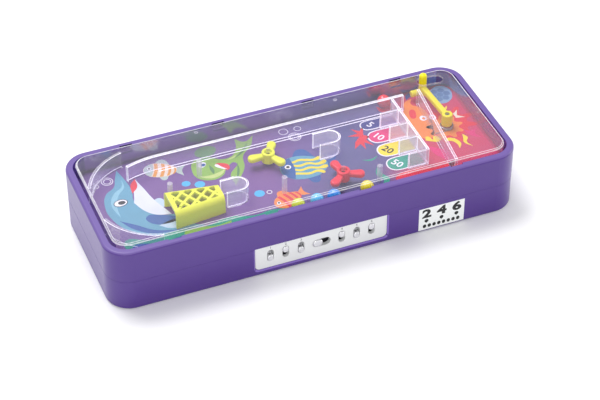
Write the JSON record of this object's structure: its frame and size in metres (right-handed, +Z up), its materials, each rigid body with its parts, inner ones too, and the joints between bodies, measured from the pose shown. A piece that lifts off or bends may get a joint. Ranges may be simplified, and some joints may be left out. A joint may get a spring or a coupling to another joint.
{
  "type": "pencil case with a built-in ball game",
  "caption": "Purple pencil case whose lid holds a hand-held ball game under a clear cover, with a sliding code lock on the front.",
  "frame": {"origin": "centre of the case's underside", "axes": "+X along the case towards the lever, +Y towards the hinge, +Z up"},
  "size_m": [0.23, 0.0917, 0.0442],
  "materials": {
    "case": "moulded purple plastic with a soft sheen",
    "clear": "crystal clear moulded plastic, polished",
    "print": null,
    "lock_plate": "pale grey plastic",
    "thumb": "pale grey plastic thumb knob",
    "inner_plastic": "natural white plastic, unpainted",
    "steel": "plain steel",
    "label": "white paper sticker with black print",
    "lime": "yellow-green plastic",
    "lever_yellow": "bright yellow plastic",
    "red": "red plastic",
    "ball_red": "red plastic ball",
    "ball_blue": "blue plastic ball",
    "ball_sky": "light blue plastic ball",
    "ball_yellow": "yellow plastic ball",
    "ball_lime": "lime plastic ball"
  },
  "bodies": {
    "base": {"base_shell": "case", "hinge_pin_left": "steel", "hinge_pin_right": "steel", "lock_plate": "lock_plate", "lock_housing": "inner_plastic", "lock_screws": "steel", "detent_springs": "steel", "code_label": "label"},
    "lid": {"lid_shell": "case", "printed_card": "print", "clear_cover": "clear", "lane_divider": "clear", "corner_guide_rear": "clear", "corner_guide_front": "clear", "lever_wall": "clear", "scoring_pockets": "clear", "catch_cup_left": "clear", "catch_cup_right": "clear", "deflector_pins": "clear", "net_bridge": "lime", "spinner_post_green": "clear", "spinner_post_red": "clear", "lever_post": "clear", "lever_spring": "steel", "lid_strikers": "inner_plastic", "striker_screws": "steel"},
    "latch": {"latch_bar": "inner_plastic", "latch_knob": "thumb"},
    "lever": {"shooter_lever": "lever_yellow"},
    "green_spinner": {"spinner_green": "lime"},
    "red_spinner": {"spinner_red": "red"},
    "red_ball": {"ball_red": "ball_red"},
    "lime_ball": {"ball_lime": "ball_lime"},
    "sky_ball": {"ball_sky": "ball_sky"},
    "blue_ball": {"ball_blue": "ball_blue"},
    "yellow_ball": {"ball_yellow": "ball_yellow"},
    "slider_1": {"code_slider_1": "thumb"},
    "slider_2": {"code_slider_2": "thumb"},
    "slider_3": {"code_slider_3": "thumb"},
    "slider_4": {"code_slider_4": "thumb"},
    "slider_5": {"code_slider_5": "thumb"},
    "slider_6": {"code_slider_6": "thumb"}
  },
  "joints": [
    {"name": "lid_hinge", "type": "hinge", "parent": "base", "child": "lid", "pos_m": [0, 0.0459, 0.0183], "axis": [-1, 0, 0], "range_deg": [0, 105]},
    {"name": "latch_slide", "type": "slide", "parent": "base", "child": "latch", "axis": [1, 0, 0], "range_m": [0, 0.0042]},
    {"name": "code_1_slide", "type": "slide", "parent": "base", "child": "slider_1", "axis": [0, 0, 1], "range_m": [0, 0.003]},
    {"name": "code_2_slide", "type": "slide", "parent": "base", "child": "slider_2", "axis": [0, 0, 1], "range_m": [-0.003, 0]},
    {"name": "code_3_slide", "type": "slide", "parent": "base", "child": "slider_3", "axis": [0, 0, 1], "range_m": [0, 0.003]},
    {"name": "code_4_slide", "type": "slide", "parent": "base", "child": "slider_4", "axis": [0, 0, 1], "range_m": [-0.003, 0]},
    {"name": "code_5_slide", "type": "slide", "parent": "base", "child": "slider_5", "axis": [0, 0, 1], "range_m": [0, 0.003]},
    {"name": "code_6_slide", "type": "slide", "parent": "base", "child": "slider_6", "axis": [0, 0, 1], "range_m": [-0.003, 0]},
    {"name": "lever_swing", "type": "hinge", "parent": "lid", "child": "lever", "pos_m": [0.0927, 0.0027, 0.033], "axis": [0, 0, -1], "range_deg": [0, 18.5], "stiffness_Nm_per_rad": 0.05},
    {"name": "green_spin", "type": "hinge", "parent": "lid", "child": "green_spinner", "pos_m": [-0.0095, 0.0094, 0.0326], "axis": [0, 0, 1], "continuous": true},
    {"name": "red_spin", "type": "hinge", "parent": "lid", "child": "red_spinner", "pos_m": [0.0218, -0.0197, 0.0326], "axis": [0, 0, 1], "continuous": true},
    {"name": "red_ball_roll", "type": "slide", "parent": "lid", "child": "red_ball", "axis": [1, 0, 0], "range_m": [-0.13, 0.011]},
    {"name": "lime_ball_roll", "type": "slide", "parent": "lid", "child": "lime_ball", "axis": [1, 0, 0], "range_m": [-0.069, 0.0014]},
    {"name": "sky_ball_roll", "type": "slide", "parent": "lid", "child": "sky_ball", "axis": [1, 0, 0], "range_m": [-0.0014, 0.001]},
    {"name": "blue_ball_roll", "type": "slide", "parent": "lid", "child": "blue_ball", "axis": [1, 0, 0], "range_m": [-0.001, 0.0024]},
    {"name": "yellow_ball_roll", "type": "slide", "parent": "lid", "child": "yellow_ball", "axis": [1, 0, 0], "range_m": [0, 0.045]}
  ]
}
